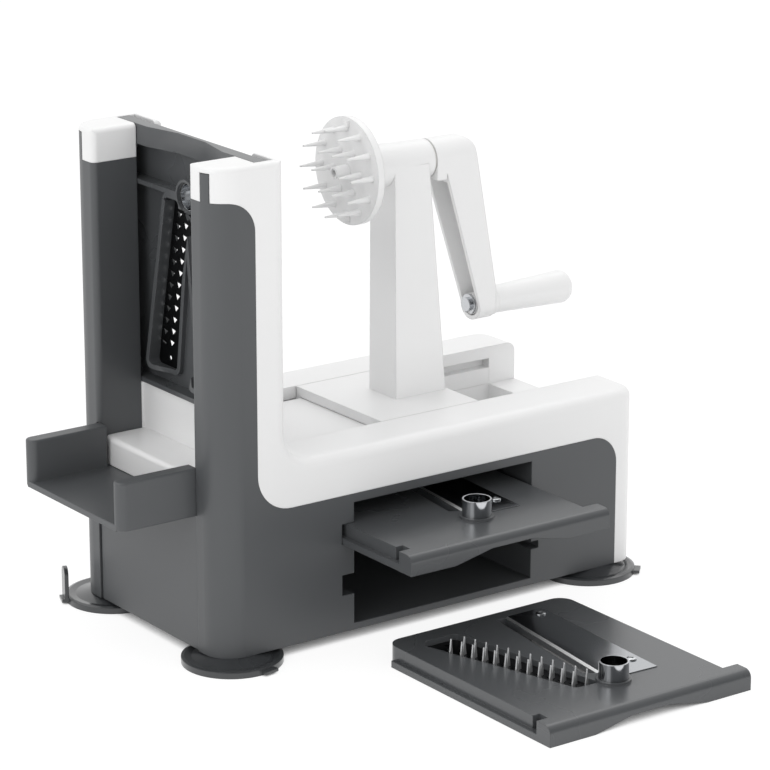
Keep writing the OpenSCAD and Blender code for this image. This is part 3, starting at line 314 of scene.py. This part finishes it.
# What the groove's tool takes up along the machine, to each side and in height, in metres
groove_x = (-0.130, -0.1252)
groove_y = (0.0460, 0.0440)
groove_z = (-0.001, 0.052)
panel = solid_copy("catch_tray", "end_panel")
for side in (-1, 1):
    groove = [(groove_x[0], side * groove_y[0]), (groove_x[1], side * groove_y[0]),
              (groove_x[1], side * groove_y[1]), (groove_x[0], side * groove_y[1])]
    combine(panel, "DIFFERENCE", block_between(
        "groove_tool", *[[(x, y, z) for x, y in groove] for z in groove_z]))
stand_for(panel, "catch_tray", "body", grey_abs)


# Screws of the housing
# Zinc plated steel, cold headed and thread rolled: eight hold the covers under the lower housing
# and two hold the upper one. Each pan head has a cross recess that the driver fits.

# How far steel's edges look rounded, in metres
steel_edge = 0.0002


def steel(name, colour, roughness, streak_mm, lay):
    """Bright steel with fine streaks, drawn out along the axes where lay is small."""
    paint, tree = new_paint(name)
    place = add_node(tree, "ShaderNodeTexCoord")
    drawn = add_node(tree, "ShaderNodeMapping", {"Scale": lay}, {"Vector": (place, "Object")})
    streaks = add_node(
        tree, "ShaderNodeTexNoise", {"Scale": 1000 / streak_mm, "Detail": 3.0},
        {"Vector": (drawn, "Vector")})
    rough = add_node(
        tree, "ShaderNodeMapRange", {"To Min": roughness[0], "To Max": roughness[1]},
        {"Value": (streaks, 0)})
    soft = add_node(tree, "ShaderNodeBevel", {"samples": 4, "Radius": steel_edge})
    metal = add_node(
        tree, "ShaderNodeBsdfPrincipled", {"Base Color": srgb(colour), "Metallic": 1.0},
        {"Roughness": (rough, 0), "Normal": (soft, 0)})
    add_node(tree, "ShaderNodeOutputMaterial", None, {"Surface": (metal, 0)})
    return paint


# The dome's height as a share of the head's, the tip's radius as a share of the shank's, and the
# angles of the dome's rings
dome_share, tip_share = 0.55, 0.3
dome_degrees = (22, 44, 62, 78, 90)
# Half the recess's length, half its width and its height, at its floor and at its mouth, as
# shares of the head's radius and height
recess_floor, recess_mouth = (0.3, 0.13, -0.7), (0.93, 0.195, 1.0)


def screw_shape(name, head_d, head_h, shank_d, length):
    """A screw that points down from its head, whose top is at the origin. Sizes are in mm."""
    steps = 32
    head_r, shank_r = head_d / 2, shank_d / 2
    profile = [(head_r * math.sin(a), -dome_share * head_h * (1 - math.cos(a))) for a in
               (math.radians(d) for d in dome_degrees)]
    profile += [(head_r, -head_h), (shank_r, -head_h), (shank_r, shank_r - length),
                (tip_share * shank_r, -length)]
    turns = [2 * math.pi * i / steps for i in range(steps)]
    points = [(r * math.cos(a), r * math.sin(a), z) for r, z in profile for a in turns]
    starts = [ring * steps for ring in range(len(profile))]
    faces = [(low + i, low + (i + 1) % steps, high + (i + 1) % steps, high + i)
             for low, high in zip(starts, starts[1:]) for i in range(steps)]
    faces += [range(steps), range(starts[-1], starts[-1] + steps)]
    screw = closed_piece(name, points, faces)
    for degrees in (0, 90):
        spin = Matrix.Rotation(math.radians(degrees), 3, "Z")
        ends = [[spin @ Vector((x * long * head_r, y * wide * head_r, high * head_h))
                 for x, y in ((-1, -1), (1, -1), (1, 1), (-1, 1))]
                for long, wide, high in (recess_floor, recess_mouth)]
        combine(screw, "DIFFERENCE", block_between("recess_tool", *ends))
    screw.data.transform(Matrix.Scale(0.001, 4))
    smooth_by_angle(screw, degrees=35)
    return screw


def solids_of(node):
    """The lowest and highest corner of each separate solid in a CAD node."""
    shape = joined_up(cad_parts[node].data)
    met = set()
    boxes = []
    for start in shape.verts:
        if start in met:
            continue
        met.add(start)
        solid = [start]
        for vert in solid:
            for edge in vert.link_edges:
                other = edge.other_vert(vert)
                if other not in met:
                    met.add(other)
                    solid.append(other)
        boxes.append((Vector([min(v.co[i] for v in solid) for i in range(3)]),
                      Vector([max(v.co[i] for v in solid) for i in range(3)])))
    shape.free()
    return boxes


# Sets one screw on every point, head along an axis, each driven to a turn of its own
setting = bpy.data.node_groups.new("set_screws", "GeometryNodeTree")
for label, kind in (("Points", "NodeSocketGeometry"), ("Screw", "NodeSocketObject"),
                    ("Axis", "NodeSocketVector"), ("Finish", "NodeSocketMaterial")):
    setting.interface.new_socket(label, in_out="INPUT", socket_type=kind)
setting.interface.new_socket("Screws", in_out="OUTPUT", socket_type="NodeSocketGeometry")
given = add_node(setting, "NodeGroupInput")
pattern = add_node(setting, "GeometryNodeObjectInfo", None, {"Object": (given, "Screw")})
upright = add_node(
    setting, "FunctionNodeAlignRotationToVector", {"axis": "Z"}, {"Vector": (given, "Axis")})
chance = add_node(setting, "FunctionNodeRandomValue", {"data_type": "FLOAT", "Seed": 7})
angle = add_node(
    setting, "ShaderNodeMath", {"operation": "MULTIPLY", 1: 2 * math.pi}, {0: (chance, 1)})
driven = add_node(
    setting, "FunctionNodeAxisAngleToRotation", {"Axis": (0.0, 0.0, 1.0)}, {"Angle": (angle, 0)})
turned = add_node(
    setting, "FunctionNodeRotateRotation", {"rotation_space": "LOCAL"},
    {"Rotation": (upright, 0), "Rotate By": (driven, 0)})
placed = add_node(
    setting, "GeometryNodeInstanceOnPoints", None,
    {"Points": (given, "Points"), "Instance": (pattern, "Geometry"), "Rotation": (turned, 0)})
real = add_node(setting, "GeometryNodeRealizeInstances", None, {"Geometry": (placed, 0)})
coloured = add_node(
    setting, "GeometryNodeSetMaterial", None,
    {"Geometry": (real, 0), "Material": (given, "Finish")})
add_node(setting, "NodeGroupOutput", None, {"Screws": (coloured, 0)})


def set_screws(node, body, axis, sizes, paint):
    """Replaces a CAD node's screws by detailed ones, heads along the axis."""
    axis = Vector(axis)
    spots = []
    for low, high in solids_of(node):
        middle, half = (low + high) / 2, (high - low) / 2
        spots.append(middle + Vector([axis[i] * half[i] for i in range(3)]))
    mesh = bpy.data.meshes.new(node + "_spots")
    mesh.from_pydata(spots, [], [])
    piece = new_piece("detailed_" + node, mesh)
    screw = screw_shape(node + "_shape", *sizes)
    modifier = piece.modifiers.new("screws", "NODES")
    modifier.node_group = setting
    values = {"Screw": screw, "Axis": axis, "Finish": paint}
    for item in setting.interface.items_tree:
        if item.in_out == "INPUT" and item.name in values:
            modifier[item.identifier] = values[item.name]
    settle(piece)
    bpy.data.objects.remove(screw)
    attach(piece, body)
    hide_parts(node)


# A screw's sizes: its head across and high, its shank across, and its whole length, in mm
housing_screw = (6.0, 1.8, 3.0, 11.8)
zinc_plate = steel("zinc_plate", "#bfc1c2", (0.22, 0.34), 0.8, (1.0, 1.0, 1.0))
set_screws("cover_screws", "body", (0, 0, -1), housing_screw, zinc_plate)
set_screws("housing_screws", "body", (0, 0, -1), housing_screw, zinc_plate)

# Feet
# Soft dark rubber cups that hold the housing to the table by suction, pressed in a polished
# mould, so that they shine. Each lip has a tab to pull it free.
foot_rubber = moulded_plastic("foot_rubber", ("#36383a", "#3c3e40"), 0.28, 0.45, 0.8, 1.2)
finish_nodes(
    foot_rubber, ("foot_blade_front", "foot_blade_back", "foot_crank_front", "foot_crank_back"))

# Upper housing and guide rails
# White ABS in one moulding from the post caps to the deck, a little glossier than the grey.
# The two rails under the deck's lips are the same plastic.
white_abs = moulded_plastic("white_abs", ("#ececec", "#f0f0f0"), 0.34, 0.0, 0.8, 0.9)
finish_nodes(white_abs, ("top_housing", "guide_rail_front", "guide_rail_back"))

# Carriage, disc and crank
# White ABS like the upper housing. The hub holds two paler nylon bushes, which the turned steel
# shaft runs in, and a cross recessed screw holds the disc to the shaft's end.
disc_screw = (3.94, 1.8, 3.0, 14.6)
nylon = moulded_plastic("nylon", ("#dcdbd6", "#e2e1dc"), 0.45, 0.0, 0.3, 0.6)
turned_steel = steel("turned_steel", "#c4c6c9", (0.16, 0.28), 0.5, (1.0, 0.1, 0.1))
finish_nodes(white_abs, ("carriage", "food_disc", "crank_arm", "grip"))
finish_nodes(nylon, ("bush_disc_side", "bush_crank_side"))
finish_nodes(turned_steel, ("drive_shaft", "grip_pin", "pin_clip"))
set_screws("disc_screw", "crank", (-1, 0, 0), disc_screw, zinc_plate)

# Cassette frames
# The housing's grey ABS from a polished mould, so that they shine more. Behind each frame the
# rims fall away from the comb's outer side towards the blade, so that the slices drop clear, and
# the outer rim closes over the edge of the comb that it clamps.
cassette_bodies = {
    "coarse": "fitted_cassette", "ribbon": "stored_cassette", "fine": "loose_cassette"}
# Where each cassette's own zero lies in the model, in mm
zeros = {
    "coarse": (-102.0, 0.0, 244.5), "ribbon": (3.5, -121.3, 50.2), "fine": (3.0, -227.8, 0.0)}


def in_place(cassette, u, v, w):
    """A point of a cassette, in mm across, along and up to its blades, in the model's metres."""
    x, y, z = zeros[cassette]
    if cassette == "coarse":
        # The fitted one stands on end between the posts
        return Vector((x + w, y - u, z - v)) / 1000
    return Vector((x + u, y + v, z + w)) / 1000


# The windows that the combs sit in: the corners of each against the clock, before it is rounded
# outwards. The last two are those of its outer side, away from the blade.
windows = {
    "coarse": [(-8.52, 34.08), (-19.2, 117.01), (-33.0, 117.01), (-15.48, 34.08)],
    "fine": [(-10.2, 32.46), (-25.8, 117.01), (-40.2, 117.01), (-42.6, 114.37), (-18.6, 33.17)],
}
# The rounding of a window's corners, the width of its outer rim, and the combs' strips' heights
window_r = 2.5
rim_w = 2.6
strip_low, strip_high = 6.2, 7.0
# The tool that lowers the rims starts at the outer rim's line, slopes down over rim_slope and
# reaches rim_reach past the line, less towards the far end. It comes to its depth over rim_ramp.
rim_start, rim_end = Vector((-18.0, 34.0)), Vector((-37.3, 125.4))
rim_depth = {"coarse": 4.5, "ribbon": 4.5, "fine": 6.8}
rim_slope, rim_reach, rim_narrowing = 15.0, 52.0, 15.0
rim_ramp = 0.1
# The bar that clamps the comb: its two heights, how far it stays inside the rim's outer face,
# and how far it stops short of the window's rounded end
clamp_low, clamp_high = 0.02, 6.15
clamp_inset = 0.01
clamp_stop = 4.0


def rim_section(cassette, share, depth):
    """The lowering tool's section at a share of the rim's length."""
    spot = rim_start.lerp(rim_end, share)
    reach = rim_reach - rim_narrowing * share
    section = ((0.0, -1.0), (reach, -1.0), (reach, depth), (rim_slope, depth), (0.0, 0.0))
    return [in_place(cassette, spot.x + out, spot.y, w) for out, w in section]


def clamp_bar(cassette):
    """The bar along the outer side of a cassette's window."""
    end, start = [Vector(corner) for corner in windows[cassette][-2:]]
    along = (end - start).normalized()
    outward = Vector((-along.y, along.x))
    ends = []
    for spot in (start, start + along * ((end - start).length - clamp_stop)):
        inner = spot + outward * window_r
        outer = spot + outward * (window_r + rim_w - clamp_inset)
        ends.append([in_place(cassette, p.x, p.y, w) for p, w in (
            (inner, clamp_low), (inner, clamp_high), (outer, clamp_high), (outer, clamp_low))])
    return block_between("clamp_bar", *ends)


cassette_abs = moulded_plastic("cassette_abs", ("#4c4e50", "#525456"), 0.28, 0.15, 0.6, 0.9)
for cassette, body in cassette_bodies.items():
    shell = solid_copy(cassette + "_cassette", cassette + "_frame")
    near = rim_section(cassette, 0.0, 0.0)
    deep = rim_section(cassette, rim_ramp, rim_depth[cassette])
    far = rim_section(cassette, 1.0, rim_depth[cassette])
    combine(shell, "DIFFERENCE", block_between("ramp_tool", near, deep))
    combine(shell, "DIFFERENCE", block_between("rim_tool", deep, far))
    if cassette in windows:
        combine(shell, "UNION", clamp_bar(cassette))
    stand_for(shell, cassette + "_cassette", body, cassette_abs)

# Slicing blades
# Stainless strip, rolled bright, that two screws hold over the slot. Its edge along the slot is
# ground, which leaves a paler, duller band.
blade_screw = (5.0, 1.0, 3.0, 4.0)
# The height of a blade's top, its edge from end to end, and how wide and deep that is ground
blade_top = 10.4
edge_start, edge_end = Vector((-0.96, 39.665)), Vector((8.64, 122.184))
edge_run = (edge_end - edge_start).normalized()
edge_side = Vector((edge_run.y, -edge_run.x))
grind_w, grind_depth = 1.6, 0.55
# How far the grinding tool runs past the edge's ends, its side and the blade's top
run_out, clear_of = 6.0, 1.0
grind_fall = grind_depth * (grind_w + clear_of) / grind_w
# How far a face must look up and towards the slot to be the ground one, as cosines
faces_up, faces_slot = 0.5, 0.15
blade_steel = steel("rolled_stainless", "#b9bbbe", (0.10, 0.20), 0.6, (1.0, 0.08, 0.08))
ground_steel = steel("ground_edge", "#eceded", (0.42, 0.52), 0.4, (0.1, 1.0, 1.0))
blade_screw_steel = steel("stainless_screw", "#c8cacc", (0.18, 0.28), 0.8, (1.0, 1.0, 1.0))
for cassette, body in cassette_bodies.items():
    blade = solid_copy(cassette + "_slicer", cassette + "_blade")
    ends = []
    for reach in (-run_out, (edge_end - edge_start).length + run_out):
        spot = edge_start + edge_run * reach
        outer = spot - edge_side * clear_of
        inner = spot + edge_side * grind_w
        ends.append([in_place(cassette, p.x, p.y, blade_top + w) for p, w in (
            (outer, -grind_fall), (inner, 0.0), (inner, clear_of), (outer, clear_of))])
    combine(blade, "DIFFERENCE", block_between("grinding_tool", *ends))
    stand_for(blade, cassette + "_slicer", body, blade_steel)
    blade.data.materials.append(ground_steel)
    zero = in_place(cassette, 0, 0, 0)
    up = (in_place(cassette, 0, 0, 1) - zero).normalized()
    to_slot = (in_place(cassette, -edge_side.x, -edge_side.y, 0) - zero).normalized()
    for face in blade.data.polygons:
        if face.normal.dot(up) > faces_up and face.normal.dot(to_slot) > faces_slot:
            face.material_index = 1
    set_screws(cassette + "_screws", body, (1, 0, 0) if cassette == "coarse" else (0, 0, 1),
               blade_screw, blade_screw_steel)


# Combs
# Each comb is a steel strip in the bottom of its window, painted near black as painted shade for
# the dark pocket behind the teeth, and its teeth are ground bright after they are bent up. The
# strip runs on to its window's edge and has a locating hole there.

# The height over which the strip's painted shade gives way to bright steel, in metres
bright_over = 0.0003


def comb_steel(name, axis, strip_top):
    """Steel painted near black on the strip, as painted shade, and ground bright on the teeth above
    it.
    """
    paint, tree = new_paint(name)
    place = add_node(tree, "ShaderNodeTexCoord")
    parts = add_node(tree, "ShaderNodeSeparateXYZ", None, {"Vector": (place, "Object")})
    tooth = add_node(
        tree, "ShaderNodeMapRange", {"From Min": strip_top, "From Max": strip_top + bright_over},
        {"Value": (parts, axis)})
    strip_shade_mottle = add_node(
        # Painted shade: the strip is painted near black, mottled a little at random, for the dark
        # pocket behind the teeth
        tree, "ShaderNodeTexNoise", {"Scale": 220.0, "Detail": 3.0}, {"Vector": (place, "Object")})
    painted_strip_shade = add_node(
        tree, "ShaderNodeMixRGB", {"Color1": srgb("#141517"), "Color2": srgb("#1d1e20")},
        {"Fac": (strip_shade_mottle, 0)})
    tint = add_node(
        tree, "ShaderNodeMixRGB", {"Color2": srgb("#d6d7d8")},
        {"Fac": (tooth, 0), "Color1": (painted_strip_shade, 0)})
    rough = add_node(
        tree, "ShaderNodeMapRange", {"To Min": 0.34, "To Max": 0.42}, {"Value": (tooth, 0)})
    soft = add_node(tree, "ShaderNodeBevel", {"samples": 4, "Radius": steel_edge})
    metal = add_node(
        tree, "ShaderNodeBsdfPrincipled", {"Metallic": 0.85},
        {"Base Color": (tint, 0), "Roughness": (rough, 0), "Normal": (soft, 0)})
    add_node(tree, "ShaderNodeOutputMaterial", None, {"Surface": (metal, 0)})
    return paint


def grown(corners, radius, steps=5):
    """A convex outline, given against the clock, grown and rounded by a radius."""
    outline = []
    for i, corner in enumerate(corners):
        before = Vector(corner) - Vector(corners[i - 1])
        after = Vector(corners[(i + 1) % len(corners)]) - Vector(corner)
        start = math.atan2(-before.x, before.y)
        turn = (math.atan2(-after.x, after.y) - start) % (2 * math.pi)
        for step in range(steps + 1):
            angle = start + turn * step / steps
            outline.append((corner[0] + radius * math.cos(angle),
                            corner[1] + radius * math.sin(angle)))
    return outline


def plate(cassette, outline, low, high):
    """A flat plate between two heights over an outline in a cassette's own place."""
    return block_between(
        "plate", *[[in_place(cassette, u, v, w) for u, v in outline] for w in (low, high)])


# Each comb: its first row's start and end, how far its strip reaches across from that row, and
# the model's axis that its teeth rise along
combs = {
    "coarse": ((-5.4, 37.74), (-23.04, 113.05), (-2.4, 13.9), "X"),
    "fine": ((-10.2, 33.78), (-34.2, 109.80), (-2.4, 11.9), "Z"),
}
# The strip's new part clears its window by strip_play. It is punched out over the teeth, from
# punch_start to punch_end along their row, and laps the comb's own strip by strip_lap.
strip_play, strip_lap = 0.05, 0.1
punch_start, punch_end = -2.3, 75.3
punch_low, punch_high = 5.0, 8.0
# The hole's place on the window's far side, from its inner corner, and how far it is set back.
# It is a small corner of hole_seed, grown by hole_r.
hole_share, hole_back = 0.45, 2.0
hole_r, hole_seed = 1.2, 0.1
for cassette, (row_start, row_end, sides, axis) in combs.items():
    comb = solid_copy(cassette + "_comb", cassette + "_comb_strip")
    along = (Vector(row_end) - Vector(row_start)).normalized()
    across = Vector((-along.y, along.x))
    inner, outer = sides[0] + strip_lap, sides[1] - strip_lap
    toothed = [(Vector(row_start) + along * x + across * y)[:] for x, y in (
        (punch_start, inner), (punch_end, inner), (punch_end, outer), (punch_start, outer))]
    # The strip's new part takes the same painted shade
    border = plate(cassette, grown(windows[cassette], window_r - strip_play), strip_low, strip_high)
    combine(border, "DIFFERENCE", plate(cassette, toothed, punch_low, punch_high))
    combine(comb, "UNION", border)
    far_inner, far_outer = [Vector(corner) for corner in windows[cassette][1:3]]
    hole = far_inner.lerp(far_outer, hole_share) - Vector((0.0, hole_back))
    hole_outline = grown(
        [hole[:], (hole.x + hole_seed, hole.y), (hole.x, hole.y + hole_seed)], hole_r)
    combine(comb, "DIFFERENCE", plate(cassette, hole_outline, punch_low, punch_high))
    strip_top = getattr(in_place(cassette, 0, 0, strip_high), axis.lower())
    stand_for(comb, cassette + "_comb", cassette_bodies[cassette],
              comb_steel(cassette + "_comb_steel", axis, strip_top))

# Corers
# Drawn stainless tube that stands in a ring of each frame, polished on its outer face. Its bore is
# painted dark brownish grey where little round a point is open, as painted shade for the deep shade
# inside the tube.
tube_colour, bore_shade_colour = "#c9cbce", "#3c3b33"
# Within bore_reach, so little is open round a point in the bore that the painted shade is laid
# there and not on the tube's outer face
bore_reach = 0.012
bore_shade_full, bore_shade_none = 0.42, 0.62
drawn_tube = steel("drawn_tube", tube_colour, (0.06, 0.12), 0.5, (1.0, 1.0, 0.1))
tree = drawn_tube.node_tree
openness = add_node(tree, "ShaderNodeAmbientOcclusion", {"samples": 8, "Distance": bore_reach})
clear_of_bore_shade = add_node(
    tree, "ShaderNodeMapRange", {"From Min": bore_shade_full, "From Max": bore_shade_none},
    {"Value": (openness, "AO")})
# Painted shade: the tube's colour goes to a dark brownish grey where little round a point is open
tint = add_node(
    tree, "ShaderNodeMixRGB", {"Color1": srgb(bore_shade_colour), "Color2": srgb(tube_colour)},
    {"Fac": (clear_of_bore_shade, 0)})
metal = next(node for node in tree.nodes if node.type == "BSDF_PRINCIPLED")
tree.links.new(tint.outputs[0], metal.inputs["Base Color"])
finish_nodes(drawn_tube, ("coarse_corer", "ribbon_corer", "fine_corer"))
